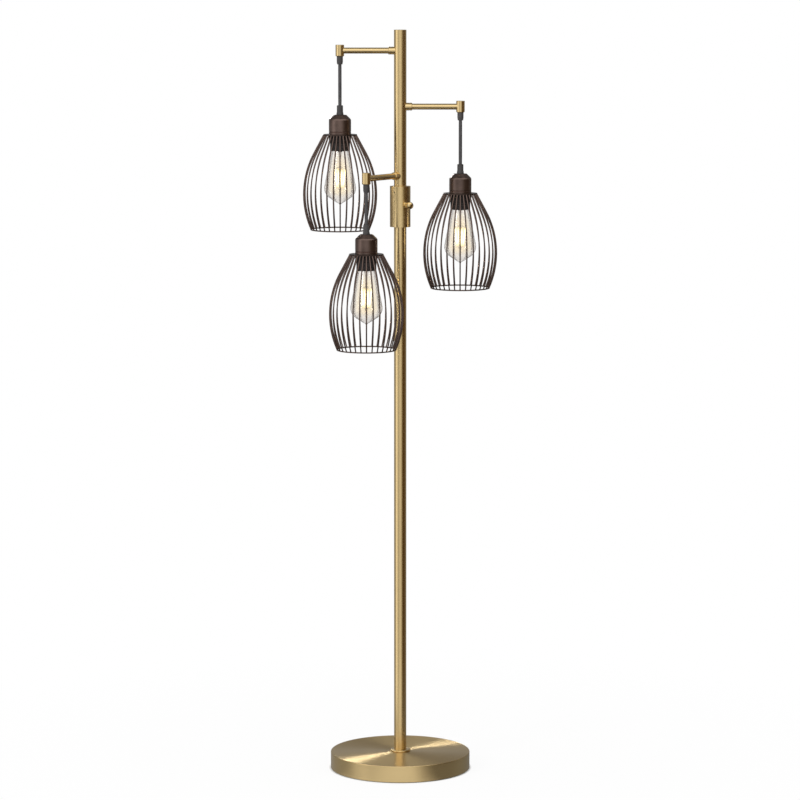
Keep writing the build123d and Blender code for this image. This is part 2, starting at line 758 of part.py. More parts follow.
def main():
    os.makedirs("parts", exist_ok=True)
    parts = stand_parts()
    parts["switch_knob"] = switch_knob()
    parts["switch_shaft"] = switch_shaft()
    parts.update(pendant_parts())
    for name, shape in parts.items():
        solids = shape if isinstance(shape, list) else [shape]
        group = Compound(children=[solid for piece in solids for solid in piece.solids()])
        export_step(group, f"parts/{name}.step")
    print(len(parts), "nodes")


main()
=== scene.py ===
import math

import bpy
from bpy.props import FloatProperty, FloatVectorProperty, IntProperty, PointerProperty
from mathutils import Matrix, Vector


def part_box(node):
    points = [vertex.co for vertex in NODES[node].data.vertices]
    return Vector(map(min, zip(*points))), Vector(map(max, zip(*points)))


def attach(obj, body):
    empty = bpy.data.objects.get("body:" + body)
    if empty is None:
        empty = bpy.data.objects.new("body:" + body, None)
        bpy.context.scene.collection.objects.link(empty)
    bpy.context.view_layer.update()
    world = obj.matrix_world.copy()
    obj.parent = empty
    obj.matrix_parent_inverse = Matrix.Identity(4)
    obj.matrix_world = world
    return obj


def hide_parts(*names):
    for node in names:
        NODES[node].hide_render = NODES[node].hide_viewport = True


bl_info = {
    "name": "Wire Cage Floor Lamp",
    "version": (1, 0, 0),
    "blender": (4, 5, 0),
    "location": "View3D > Sidebar > Floor Lamp",
    "description": "Dresses a brass floor lamp with three caged bulbs",
    "category": "Object",
}

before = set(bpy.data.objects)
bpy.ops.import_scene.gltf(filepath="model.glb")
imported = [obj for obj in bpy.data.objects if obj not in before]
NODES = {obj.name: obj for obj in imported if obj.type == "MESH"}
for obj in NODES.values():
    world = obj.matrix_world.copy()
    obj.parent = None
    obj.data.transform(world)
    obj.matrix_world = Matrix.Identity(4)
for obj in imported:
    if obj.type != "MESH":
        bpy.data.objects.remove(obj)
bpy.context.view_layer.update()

SIDES = ("left", "right", "front")


# ---- What the frame says about a pendant ----
def centre_of(node):
    low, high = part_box(node)
    return (low + high) / 2


def seat_of(side):
    """Centre of the cage plate's top face, which the socket cup stands on."""
    middle = centre_of(f"cage_plate_{side}")
    return Vector((middle.x, middle.y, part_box(f"cage_plate_{side}")[1].z))


def height_in_pendant(node_kind, end):
    """A height below the seat, read from the left pendant's nodes. The three pendants are alike."""
    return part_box(f"{node_kind}_left")[end].z - seat_of("left").z


def radius_of(node):
    low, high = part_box(node)
    return (high.x - low.x) / 2


PLATE_RADIUS = radius_of("cage_plate_left")
PLATE_UNDERSIDE = height_in_pendant("cage_plate", 0)
CAGE_RING_OUTER = radius_of("cage_ring_left")
CAGE_BOTTOM = height_in_pendant("cage_ring", 0)
SOCKET_RIM = height_in_pendant("socket", 0)

# Each pendant hangs a little turned on its cord, in degrees, as in the photo.
PENDANT_TWIST = {"left": 1.0, "right": -1.0, "front": 0.6}


# ---- Sizes and colours that a user would change ----
class LampCage(bpy.types.PropertyGroup):
    wire_count: IntProperty(name="Wires", description="Upright wires in one cage", default=34, min=8, max=60)
    wire_diameter: FloatProperty(name="Wire", description="Diameter of the round wire", default=0.0027,
                                 unit="LENGTH")
    widest_radius: FloatProperty(name="Cage radius", description="Outside of the wires at the widest place",
                                 default=0.0750, unit="LENGTH")
    widest_drop: FloatProperty(name="Widest place", description="Widest place, below the cage plate's top",
                               default=0.1208, unit="LENGTH")
    arc_radius: FloatProperty(name="Wire curve", description="Radius of the wires' outer curve",
                              default=0.1752, unit="LENGTH")
    plate_inset: FloatProperty(name="Plate inset", description="Wire centres in from the plate's edge",
                               default=0.0018, unit="LENGTH")


class LampBulb(bpy.types.PropertyGroup):
    filament_count: IntProperty(name="Filaments", description="Glowing sticks in one bulb", default=4, min=1,
                                max=8)
    filament_turn: FloatProperty(name="Filament turn", description="Turn of the first filament from +X",
                                 default=math.radians(20), subtype="ANGLE")
    core_diameter: FloatProperty(name="Filament", description="Diameter of the coated filament",
                                 default=0.0030, unit="LENGTH")
    top_radius: FloatProperty(name="Upper spread", description="Filaments' upper ends from the bulb's axis",
                              default=0.011, unit="LENGTH")
    low_radius: FloatProperty(name="Lower spread", description="Filaments' lower ends from the bulb's axis",
                              default=0.006, unit="LENGTH")
    top_drop: FloatProperty(name="Upper end", description="Filaments' upper ends below the socket's rim",
                            default=0.0365, unit="LENGTH")
    low_drop: FloatProperty(name="Lower end", description="Filaments' lower ends below the socket's rim",
                            default=0.0745, unit="LENGTH")
    lead_reach: FloatProperty(name="Lead reach", description="Leads leave the stem this far past a filament",
                              default=0.005, unit="LENGTH")
    lead_diameter: FloatProperty(name="Lead", description="Diameter of the bare leads", default=0.0007,
                                 unit="LENGTH")


class LampCord(bpy.types.PropertyGroup):
    diameter: FloatProperty(name="Cord", description="Diameter of the hanging cords", default=0.007,
                            unit="LENGTH")


class LampFinish(bpy.types.PropertyGroup):
    brass: FloatVectorProperty(name="Brass", description="Colour of the brass", subtype="COLOR",
                               default=(0.80, 0.60, 0.30))
    bronze: FloatVectorProperty(name="Bronze", description="Colour of the dark bronze paint",
                                subtype="COLOR", default=(0.146, 0.102, 0.086))
    plastic: FloatVectorProperty(name="Plastic", description="Colour of the sockets", subtype="COLOR",
                                 default=(0.016, 0.012, 0.011))
    rubber: FloatVectorProperty(name="Rubber", description="Colour of the cord glands and sleeves",
                                subtype="COLOR", default=(0.040, 0.037, 0.037))
    cord: FloatVectorProperty(name="Cord", description="Colour of the cords", subtype="COLOR",
                              default=(0.045, 0.043, 0.044))
    glass: FloatVectorProperty(name="Glass", description="Tint of the bulbs' glass", subtype="COLOR",
                               default=(0.935, 0.920, 0.910))
    # This colour is painted light: the filaments' warm glow painted into the glass beside them.
    glow_painted_glass: FloatVectorProperty(name="Painted glow on glass", description="Tint of the glass beside the filaments",
                                   subtype="COLOR", default=(1.0, 0.930, 0.80))
    glow: FloatVectorProperty(name="Glow", description="Colour of the filaments' light", subtype="COLOR",
                              default=(1.0, 0.84, 0.52))
    glow_strength: FloatProperty(name="Glow strength", description="Brightness of the filaments",
                                 default=2.6)


class LampStudio(bpy.types.PropertyGroup):
    camera_distance: FloatProperty(name="Distance", description="Camera to the pole, level", default=7.0,
                                   unit="LENGTH")
    camera_height: FloatProperty(name="Height", description="Camera above the floor", default=1.6525,
                                 unit="LENGTH")
    camera_shift: FloatProperty(name="Aside", description="Camera to the pole's left", default=0.0004,
                                unit="LENGTH")
    camera_pitch: FloatProperty(name="Pitch", description="Camera's tilt below the horizon",
                                default=math.radians(7.26), subtype="ANGLE")
    lens: FloatProperty(name="Lens", description="Focal length in millimetres", default=156.5)
    floor_size: FloatProperty(name="Floor", description="Width of the floor", default=40.0, unit="LENGTH")
    floor_white: FloatProperty(name="Floor white", default=0.93, min=0, max=1,
                               description="Share of the floor's white that takes no shadow")
    fill: FloatProperty(name="Fill", description="Strength of the light from all round", default=0.75)
    tent_radius: FloatProperty(name="Tent", description="Radius of the light tent that the metal reflects",
                               default=3.2, unit="LENGTH")
    tent_centre: FloatProperty(name="Tent centre", description="Height of the light tent's centre",
                               default=1.0, unit="LENGTH")


# ---- Modelling helpers ----
def pick(*objects):
    """Selects just these objects, with the first one active."""
    if bpy.context.mode != "OBJECT":
        bpy.ops.object.mode_set(mode="OBJECT")
    bpy.ops.object.select_all(action="DESELECT")
    for thing in objects:
        thing.select_set(True)
    bpy.context.view_layer.objects.active = objects[0]
    return objects[0]


def deselect():
    """Deselects everything, because an operator acts on all that is selected."""
    bpy.ops.object.select_all(action="DESELECT")


def edit(thing):
    """Opens a mesh in edit mode with all of it selected."""
    pick(thing)
    bpy.ops.object.mode_set(mode="EDIT")
    bpy.ops.mesh.select_all(action="SELECT")


def close_edit():
    bpy.ops.object.mode_set(mode="OBJECT")


def repeat_round(thing, count):
    """Repeats a whole mesh round the vertical axis, evenly."""
    edit(thing)
    bpy.ops.mesh.spin(steps=count - 1, dupli=True, angle=math.tau * (count - 1) / count, center=(0, 0, 0),
                      axis=(0, 0, 1))
    close_edit()


def joined(*objects):
    """Joins meshes into the first one."""
    pick(*objects)
    bpy.ops.object.join()
    return objects[0]


def apply_place(thing):
    """Puts an object's place, turn and scale into its mesh."""
    pick(thing)
    bpy.ops.object.transform_apply(location=True, rotation=True, scale=True)


def copied(thing, name):
    """A copy with its own mesh."""
    twin = thing.copy()
    twin.data = thing.data.copy()
    twin.name = twin.data.name = name
    bpy.context.collection.objects.link(twin)
    return twin


def bar_between(start, end, radius, sides):
    """A round bar between two points."""
    run = Vector(end) - Vector(start)
    deselect()
    bpy.ops.mesh.primitive_cylinder_add(vertices=sides, radius=radius, depth=run.length,
                                        location=(Vector(start) + Vector(end)) / 2)
    bar = bpy.context.object
    bar.rotation_euler = run.to_track_quat("Z", "Y").to_euler()
    apply_place(bar)
    return bar


SHARP_EDGE = math.radians(60)
ROUNDING_SEGMENTS = 3
SMOOTH_ANGLE = math.radians(40)


def rounded(thing, width):
    """Rounds the sharp edges of a piece."""
    pick(thing)
    rounding = thing.modifiers.new("Rounding", "BEVEL")
    rounding.width = width
    rounding.segments = ROUNDING_SEGMENTS
    rounding.limit_method = "ANGLE"
    rounding.angle_limit = SHARP_EDGE
    bpy.ops.object.modifier_apply(modifier=rounding.name)


def smooth(thing):
    """Shades a mesh smooth, apart from its sharp edges."""
    pick(thing)
    bpy.ops.object.shade_smooth_by_angle(angle=SMOOTH_ANGLE)


def at_each_pendant(pattern, kind, material, replaced):
    """Copies a piece that was modelled about the origin to each pendant, where it stands for a node."""
    for side in SIDES:
        piece = copied(pattern, f"{kind}_{side}")
        piece.location = seat_of(side)
        piece.rotation_euler.z = math.radians(PENDANT_TWIST[side])
        apply_place(piece)
        dress(piece, material)
        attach(piece, f"{side}_lamp")
        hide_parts(f"{replaced}_{side}")
    bpy.data.objects.remove(pattern)


def dress(thing, material):
    """Gives a piece its one material."""
    thing.data.materials.clear()
    thing.data.materials.append(material)


def dress_nodes(material, *kinds):
    """Gives CAD nodes a material. A kind that isn't a node's name stands for its three sides."""
    for kind in kinds:
        for name in [kind] if kind in NODES else [f"{kind}_{side}" for side in SIDES]:
            slots = NODES[name].data.materials
            for place in range(len(slots)):
                slots[place] = material


# ---- Material helpers ----
def set_inputs(tree, shader, values):
    """Gives a node's inputs their values, by name or place. A value that is a socket is linked."""
    for name, value in values.items():
        if isinstance(value, bpy.types.NodeSocket):
            tree.links.new(value, shader.inputs[name])
        else:
            shader.inputs[name].default_value = value


def node(tree, kind, inputs=None, **settings):
    """Adds a shader node, with its settings, and values or links for its inputs."""
    made = tree.nodes.new(kind)
    for name, value in settings.items():
        setattr(made, name, value)
    set_inputs(tree, made, inputs or {})
    return made


def new_material(name):
    """A material with a Principled BSDF: (material, tree, shader)."""
    material = bpy.data.materials.new(name)
    material.use_nodes = True
    tree = material.node_tree
    tree.nodes.clear()
    shader = node(tree, "ShaderNodeBsdfPrincipled")
    node(tree, "ShaderNodeOutputMaterial", {"Surface": shader.outputs["BSDF"]})
    return material, tree, shader


def new_group(name, inputs, outputs):
    """A shader node group: (group, its input sockets by name, its output node)."""
    group = bpy.data.node_groups.new(name, "ShaderNodeTree")
    for title, kind in inputs.items():
        group.interface.new_socket(title, in_out="INPUT", socket_type=f"NodeSocket{kind}")
    for title, kind in outputs.items():
        group.interface.new_socket(title, in_out="OUTPUT", socket_type=f"NodeSocket{kind}")
    return group, node(group, "NodeGroupInput").outputs, node(group, "NodeGroupOutput").inputs


def maths(tree, operation, *values):
    """A sum, product or function of values and sockets."""
    return node(tree, "ShaderNodeMath", dict(enumerate(values)), operation=operation).outputs[0]


# Places of the Mix node's sockets when it mixes colours.
MIX_SHARE, MIX_FIRST, MIX_SECOND, MIX_RESULT = 0, 6, 7, 2


def mixed(tree, share, first, second):
    """A colour between two others, which are sockets or plain colours."""
    first, second = (colour if isinstance(colour, bpy.types.NodeSocket) else (*colour[:3], 1.0)
                     for colour in (first, second))
    return node(tree, "ShaderNodeMix", {MIX_SHARE: share, MIX_FIRST: first, MIX_SECOND: second},
                data_type="RGBA").outputs[MIX_RESULT]


def ranged(tree, value, low, high, new_low, new_high, shape="LINEAR"):
    """Carries a value from one range to another, and stops at the ends."""
    return node(tree, "ShaderNodeMapRange", {"Value": value, "From Min": low, "From Max": high,
                                             "To Min": new_low, "To Max": new_high},
                interpolation_type=shape).outputs[0]


def smoothed(tree, value, low, high, new_low=0.0, new_high=1.0):
    """The same with soft ends."""
    return ranged(tree, value, low, high, new_low, new_high, "SMOOTHSTEP")


def shaded(colour, share):
    """A colour made darker or lighter."""
    return tuple(min(1.0, channel * share) for channel in colour)


def group_brushing():
    """Fine parallel scratches. The vector is stretched so that the scratches run where it hardly changes."""
    group, given, result = new_group("Brushing", {"Vector": "Vector", "Fineness": "Float"},
                                     {"Scratches": "Float", "Streaks": "Float"})
    fine = node(group, "ShaderNodeTexNoise", {"Vector": given["Vector"], "Scale": given["Fineness"],
                                              "Detail": 6.0, "Roughness": 0.75})
    broad = node(group, "ShaderNodeTexNoise", {"Vector": given["Vector"], "Scale": 18.0, "Detail": 3.0,
                                               "Roughness": 0.6})
    group.links.new(fine.outputs["Fac"], result["Scratches"])
    group.links.new(broad.outputs["Fac"], result["Streaks"])
    return group


SMUDGE_EDGE = (0.35, 0.7)  # the noise between which a smudge comes in
SPECKLE_REACH = 0.5  # of a speckle's own width


def group_handling():
    """Soft smudges and speckle, as on metal and paint that have been handled."""
    group, given, result = new_group("Handling", {"Vector": "Vector", "Size": "Float"},
                                     {"Smudge": "Float", "Speckle": "Float"})
    smudge = node(group, "ShaderNodeTexNoise", {"Vector": given["Vector"], "Scale": given["Size"],
                                                "Detail": 4.0, "Roughness": 0.55, "Distortion": 0.4})
    speckle = node(group, "ShaderNodeTexVoronoi", {"Vector": given["Vector"], "Scale": 900.0})
    group.links.new(ranged(group, smudge.outputs["Fac"], *SMUDGE_EDGE, 0.0, 1.0), result["Smudge"])
    group.links.new(ranged(group, speckle.outputs["Distance"], 0.0, SPECKLE_REACH, 1.0, 0.0),
                    result["Speckle"])
    return group


def shared_group(name, build):
    """A node group that is built once."""
    return bpy.data.node_groups.get(name) or build()


def brushing(tree, vector, fineness):
    """The outputs of a brushing group: Scratches and Streaks."""
    made = node(tree, "ShaderNodeGroup", node_tree=shared_group("Brushing", group_brushing))
    set_inputs(tree, made, {"Vector": vector, "Fineness": fineness})
    return made.outputs


def handling(tree, vector, size):
    """The outputs of a handling group: Smudge and Speckle."""
    made = node(tree, "ShaderNodeGroup", node_tree=shared_group("Handling", group_handling))
    set_inputs(tree, made, {"Vector": vector, "Size": size})
    return made.outputs


def object_place(tree):
    """Where the surface is, in the object's own axes."""
    return node(tree, "ShaderNodeTexCoord").outputs["Object"]


def object_height(tree):
    """The surface's height, in the object's own axes."""
    return node(tree, "ShaderNodeSeparateXYZ", {"Vector": object_place(tree)}).outputs["Z"]


def round_axis(tree):
    """Distance from the pole's axis, height, and turn from the front: sockets by those names."""
    place = node(tree, "ShaderNodeSeparateXYZ", {"Vector": object_place(tree)}).outputs
    reach = maths(tree, "SQRT", maths(tree, "ADD", maths(tree, "POWER", place["X"], 2.0),
                                      maths(tree, "POWER", place["Y"], 2.0)))
    turn = maths(tree, "ARCTAN2", place["X"], maths(tree, "MULTIPLY", place["Y"], -1.0))
    return {"reach": reach, "height": place["Z"], "turn": turn}


TURNED_DRIFT = 0.004  # of the scratches' pattern, for each radian of the way round


def turned_place(tree):
    """A vector in which brushing that runs round the pole's axis hardly changes along its way."""
    axis = round_axis(tree)
    drift = maths(tree, "MULTIPLY", axis["turn"], TURNED_DRIFT)
    return node(tree, "ShaderNodeCombineXYZ",
                {"X": axis["reach"], "Y": axis["height"], "Z": drift}).outputs[0]


# ---- Materials ----
NOISE_MIDDLE = (0.3, 0.7)  # the range that holds most of a noise's values
BRUSH_FINENESS = 1400.0
BRASS_SMUDGE = 0.05
TARNISH = 0.55  # share of the brass's colour where it is smudged
SCRATCH_ROUGHNESS = 0.03
SMUDGE_ROUGHNESS = 0.02
RIM_BAND = (0.0004, 0.0001)  # below the base's top, where its side's roughness gives way to the top's
QUARTER_TURN = 0.25


def brass(name, colour, turned, anisotropy, roughness, streaks=0.05, side_roughness=None):
    """Brushed brass, lacquered. Turned brass is brushed round the pole's axis. The base's side is finer."""
    material, tree, shader = new_material(name)
    place = object_place(tree)
    brushed = brushing(tree, turned_place(tree) if turned else place, BRUSH_FINENESS)
    handled = handling(tree, place, size=9.0)
    tone = mixed(tree, brushed["Streaks"], shaded(colour, 1.0 - streaks), shaded(colour, 1.0 + streaks))
    tone = mixed(tree, maths(tree, "MULTIPLY", handled["Smudge"], BRASS_SMUDGE), tone,
                 shaded(colour, TARNISH))
    if side_roughness is not None:
        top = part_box("base_cover")[1].z
        roughness = smoothed(tree, object_height(tree), *(top - depth for depth in RIM_BAND), side_roughness,
                             roughness)
    scratched = ranged(tree, brushed["Scratches"], *NOISE_MIDDLE, -SCRATCH_ROUGHNESS, SCRATCH_ROUGHNESS)
    wear = maths(tree, "ADD", scratched, maths(tree, "MULTIPLY", handled["Smudge"], SMUDGE_ROUGHNESS))
    rough = maths(tree, "ADD", wear, roughness)
    bump = node(tree, "ShaderNodeBump", {"Height": brushed["Scratches"], "Strength": 0.006,
                                         "Distance": 0.0001})
    set_inputs(tree, shader, {"Base Color": tone, "Metallic": 1.0, "Roughness": rough,
                              "Anisotropic": anisotropy, "Normal": bump.outputs[0]})
    if turned:
        tangent = node(tree, "ShaderNodeTangent", direction_type="RADIAL", axis="Z")
        set_inputs(tree, shader, {"Anisotropic Rotation": QUARTER_TURN, "Tangent": tangent.outputs[0]})
    return material


CUP_GROOVE = 0.005  # above the cage plate's top
CUP_GROOVE_EDGE = (0.0004, 0.0011)  # from the groove's middle, where it begins and stops fading
# The groove's dark colour and its share are painted shade, darkening the recess of the groove.
GROOVE_SHADE_COLOUR = (0.045, 0.012, 0.008)
GROOVE_PAINTED_SHADE = 0.7


def cup_groove(tree):
    """1 in the fine line round the cups, a little above the cage plates."""
    height = object_height(tree)
    groove = 0.0
    for side in SIDES:
        away = maths(tree, "ABSOLUTE", maths(tree, "SUBTRACT", height, seat_of(side).z + CUP_GROOVE))
        groove = maths(tree, "MAXIMUM", smoothed(tree, away, *CUP_GROOVE_EDGE, 1.0, 0.0), groove)
    return groove


PAINT_DARK = 0.82
PAINT_LIGHT = 1.25
PAINT_FLECKS = 0.25
PAINT_FLECK_LIGHT = 1.9
PAINT_ROUGHNESS = (0.28, 0.36)


def painted_bronze(colour, name="Dark bronze", grooved=False):
    """Dark bronze paint: warm brown with a dull shine, a little lighter where it is rubbed."""
    material, tree, shader = new_material(name)
    place = object_place(tree)
    handled = handling(tree, place, size=30.0)
    tone = mixed(tree, handled["Smudge"], shaded(colour, PAINT_DARK), shaded(colour, PAINT_LIGHT))
    tone = mixed(tree, maths(tree, "MULTIPLY", handled["Speckle"], PAINT_FLECKS), tone,
                 shaded(colour, PAINT_FLECK_LIGHT))
    rough = ranged(tree, handled["Smudge"], 0.0, 1.0, *PAINT_ROUGHNESS)
    bump = node(tree, "ShaderNodeBump", {"Height": handled["Speckle"], "Strength": 0.06, "Distance": 0.0002})
    if grooved:
        groove = cup_groove(tree)
        # Painted shade darkens the fine groove round the cups, along with its bump.
        tone = mixed(tree, maths(tree, "MULTIPLY", groove, GROOVE_PAINTED_SHADE), tone, GROOVE_SHADE_COLOUR)
        bump = node(tree, "ShaderNodeBump", {"Height": maths(tree, "SUBTRACT", 1.0, groove), "Strength": 0.5,
                                             "Distance": 0.0005, "Normal": bump.outputs[0]})
    set_inputs(tree, shader, {"Base Color": tone, "Metallic": 0.95, "Roughness": rough,
                              "Normal": bump.outputs[0]})
    return material


MOULDED_DARK = 0.85
MOULDED_LIGHT = 1.35
GRAIN_ROUGHNESS = 0.06


def moulded(name, colour, roughness, grain, thread=0.0):
    """Moulded plastic or rubber with a fine grain, and with a screw thread where a pitch is given."""
    material, tree, shader = new_material(name)
    place = object_place(tree)
    handled = handling(tree, place, size=45.0)
    noise = node(tree, "ShaderNodeTexNoise", {"Vector": place, "Scale": grain, "Detail": 3.0})
    tone = mixed(tree, handled["Smudge"], shaded(colour, MOULDED_DARK), shaded(colour, MOULDED_LIGHT))
    rough = ranged(tree, noise.outputs["Fac"], *NOISE_MIDDLE, roughness - GRAIN_ROUGHNESS,
                   roughness + GRAIN_ROUGHNESS)
    bump = node(tree, "ShaderNodeBump", {"Height": noise.outputs["Fac"], "Strength": 0.1,
                                         "Distance": 0.0002})
    if thread:
        ridges = maths(tree, "SINE", maths(tree, "MULTIPLY", object_height(tree), math.tau / thread))
        bump = node(tree, "ShaderNodeBump", {"Height": ridges, "Strength": 0.6, "Distance": 0.0006,
                                             "Normal": bump.outputs[0]})
    set_inputs(tree, shader, {"Base Color": tone, "Roughness": rough, "Normal": bump.outputs[0]})
    return material


def near_glow(tree, bulb, full, none):
    """1 up to the full distance above or below the middle of a bulb's filaments, and 0 past the other one."""
    height = object_height(tree)
    beside = 0.0
    for side in SIDES:
        middle = seat_of(side).z + SOCKET_RIM - (bulb.top_drop + bulb.low_drop) / 2
        away = maths(tree, "ABSOLUTE", maths(tree, "SUBTRACT", height, middle))
        beside = maths(tree, "MAXIMUM", smoothed(tree, away, full, none, 1.0, 0.0), beside)
    return beside


GLASS_EDGE = (0.35, 0.95)  # slant between which the glass turns grey, as painted shade of the glass seen edge on
PAINTED_EDGE_SHADE = 0.84
PAINTED_GLOW_EDGE = (0.02, 0.40)  # slant between which the painted warm glow of the filaments gives way


def bulb_glass(tint, glow_painted_tint, bulb):
    """Thin clear glass, with painted shade where it is seen edge on, and a painted warm glow of the filaments
    beside them.
    """
    material, tree, shader = new_material("Bulb glass")
    beside = near_glow(tree, bulb, full=0.020, none=0.065)
    edge = node(tree, "ShaderNodeLayerWeight", {"Blend": 0.5}).outputs["Facing"]
    # warm is painted light: the filaments' glow on the glass, fading towards the edges.
    warm = maths(tree, "MULTIPLY", beside, smoothed(tree, edge, *PAINTED_GLOW_EDGE, 1.0, 0.0))
    # The grey towards the edges is painted shade.
    tone = mixed(tree, ranged(tree, edge, *GLASS_EDGE, 0.0, 1.0), tint, shaded(tint, PAINTED_EDGE_SHADE))
    tone = mixed(tree, warm, tone, glow_painted_tint)
    set_inputs(tree, shader, {"Base Color": tone, "Roughness": 0.09, "IOR": 1.45,
                              "Transmission Weight": 1.0})
    return material


COATING_DARK = 0.9
COATING_LIGHT = 1.1
STICK_END_GLOW = 0.12  # share of the glow at a stick's ends


def glowing(colour, strength, bulb):
    """The filaments' coating, which glows less towards its ends."""
    material, tree, shader = new_material("Glowing filament")
    place = object_place(tree)
    noise = node(tree, "ShaderNodeTexNoise", {"Vector": place, "Scale": 700.0, "Detail": 2.0})
    tone = mixed(tree, noise.outputs["Fac"], shaded(colour, COATING_DARK), shaded(colour, COATING_LIGHT))
    light = mixed(tree, near_glow(tree, bulb, full=0.008, none=0.021), shaded(colour, STICK_END_GLOW), tone)
    set_inputs(tree, shader, {"Base Color": tone, "Roughness": 0.5, "Emission Color": light,
                              "Emission Strength": strength})
    return material


METAL_DARK = 0.8
METAL_WEAR = 0.15


def metal(name, colour, roughness):
    """Plain metal, a little duller where it is smudged."""
    material, tree, shader = new_material(name)
    handled = handling(tree, object_place(tree), size=60.0)
    tone = mixed(tree, handled["Smudge"], shaded(colour, METAL_DARK), colour)
    rough = ranged(tree, handled["Smudge"], 0.0, 1.0, roughness, roughness + METAL_WEAR)
    set_inputs(tree, shader, {"Base Color": tone, "Metallic": 1.0, "Roughness": rough})
    return material


# ---- The lamp's pieces ----
FOAM_COLOUR = (0.02, 0.02, 0.02)
STONE_COLOUR = (0.25, 0.24, 0.23)
STEEL_COLOUR = (0.55, 0.55, 0.56)
CONTACT_COLOUR = (0.72, 0.58, 0.30)
INSULATION_COLOUR = (0.5, 0.5, 0.48)
LEAD_COLOUR = (0.6, 0.55, 0.5)
FINE_GRAIN = 900.0  # of smooth moulded plastic and rubber


class LAMP_OT_brasswork(bpy.types.Operator):
    """Brushed brass on the pole, arms and switch housing"""
    bl_idname = "lamp.brasswork"
    bl_label = "Brasswork"

    def execute(self, context):
        colour = context.scene.lamp_finish.brass
        round_pieces = brass("Turned brass", colour, turned=True, anisotropy=0.7, roughness=0.26)
        dress_nodes(round_pieces, "lower_pole", "upper_pole", "pole_cap", "switch_housing", "housing_lid",
                    "neck_ring")
        drawn = brass("Drawn brass", colour, turned=False, anisotropy=0.0, roughness=0.2, streaks=0.03)
        dress_nodes(drawn, "arm", "arm_collars", "tip_joints", "switch_collar", "switch_knob")
        return {"FINISHED"}


PAD_ROUNDING = 0.0008
PAD_SIDES = 160


def model_pad():
    """The foam pad: a disc with rounded edges."""
    low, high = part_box("foot_pad")
    deselect()
    bpy.ops.mesh.primitive_cylinder_add(vertices=PAD_SIDES, radius=radius_of("foot_pad"),
                                        depth=high.z - low.z, location=centre_of("foot_pad"))
    pad = bpy.context.object
    pad.name = "rounded_pad"
    apply_place(pad)
    rounded(pad, PAD_ROUNDING)
    smooth(pad)
    return pad


class LAMP_OT_base(bpy.types.Operator):
    """Spun brass on the base cover, and the foam pad under it"""
    bl_idname = "lamp.base"
    bl_label = "Base"

    def execute(self, context):
        finish = context.scene.lamp_finish
        spun = brass("Spun brass", finish.brass, turned=True, anisotropy=1.0, roughness=0.31, streaks=0.12,
                     side_roughness=0.2)
        dress_nodes(spun, "base_cover")
        pad = model_pad()
        dress(pad, moulded("Foam", FOAM_COLOUR, roughness=0.9, grain=500.0))
        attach(pad, "stand")
        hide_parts("foot_pad")
        dress_nodes(moulded("Cast stone", STONE_COLOUR, roughness=0.85, grain=150.0), "base_weight")
        dress_nodes(moulded("Gland plastic", finish.plastic, roughness=0.4, grain=FINE_GRAIN), "lead_gland")
        dress_nodes(metal("Plated steel", STEEL_COLOUR, roughness=0.3), "base_nipple", "base_nut_washer",
                    "switch_shaft")
        return {"FINISHED"}


# A cord's end is slimmer inside its mouth: (distance from the end, share of radius).
CORD_END = ((0.0, 0.76), (0.0018, 0.84), (0.0036, 1.0))
CORD_FACETS = 5  # of a quarter of the round section
CORD_ORDER = 3  # of the smooth curve


def model_cord(side, diameter):
    """A hanging cord, as one smooth curve between the ends of its node."""
    low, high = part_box(f"cord_{side}")
    axis = centre_of(f"cord_{side}")
    curve = bpy.data.curves.new(f"hanging_cord_{side}", "CURVE")
    curve.dimensions = "3D"
    curve.bevel_depth = diameter / 2
    curve.bevel_resolution = CORD_FACETS
    curve.use_fill_caps = True
    spline = curve.splines.new("NURBS")
    stations = [(high.z - depth, share) for depth, share in CORD_END]
    stations += [(axis.z, 1.0)] + [(low.z + depth, share) for depth, share in reversed(CORD_END)]
    spline.points.add(len(stations) - 1)
    for point, (height, share) in zip(spline.points, stations):
        point.co = (axis.x, axis.y, height, 1.0)
        point.radius = share
    spline.order_u = CORD_ORDER
    spline.use_endpoint_u = True
    piece = bpy.data.objects.new(curve.name, curve)
    bpy.context.collection.objects.link(piece)
    return piece


class LAMP_OT_cords(bpy.types.Operator):
    """The three hanging cords, with their glands and sleeves"""
    bl_idname = "lamp.cords"
    bl_label = "Cords"

    def execute(self, context):
        diameter = context.scene.lamp_cord.diameter
        jacket = moulded("Cord jacket", context.scene.lamp_finish.cord, roughness=0.45, grain=800.0)
        for side in SIDES:
            piece = model_cord(side, diameter)
            dress(piece, jacket)
            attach(piece, f"{side}_cord")
            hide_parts(f"cord_{side}")
        rubber = moulded("Moulded rubber", context.scene.lamp_finish.rubber, roughness=0.5, grain=FINE_GRAIN)
        dress_nodes(rubber, "cord_glands", "cord_relief")
        return {"FINISHED"}


SOCKET_THREAD = 0.0036  # pitch of the thread that holds the shade ring


class LAMP_OT_sockets(bpy.types.Operator):
    """Bronze cups and black sockets, and the finishes inside the pole and sockets"""
    bl_idname = "lamp.sockets"
    bl_label = "Sockets"

    def execute(self, context):
        finish = context.scene.lamp_finish
        dress_nodes(painted_bronze(finish.bronze, "Cup bronze", grooved=True), "socket_cup")
        threaded = moulded("Socket plastic", finish.plastic, roughness=0.36, grain=FINE_GRAIN,
                           thread=SOCKET_THREAD)
        dress_nodes(threaded, "socket", "shade_ring")
        dress_nodes(moulded("Switch plastic", finish.plastic, roughness=0.4, grain=FINE_GRAIN), "switch_body")
        dress_nodes(metal("Contact brass", CONTACT_COLOUR, roughness=0.3), "socket_contacts", "bulb_cap")
        dress_nodes(moulded("Wire insulation", INSULATION_COLOUR, roughness=0.5, grain=FINE_GRAIN),
                    "inner_wires")
        return {"FINISHED"}


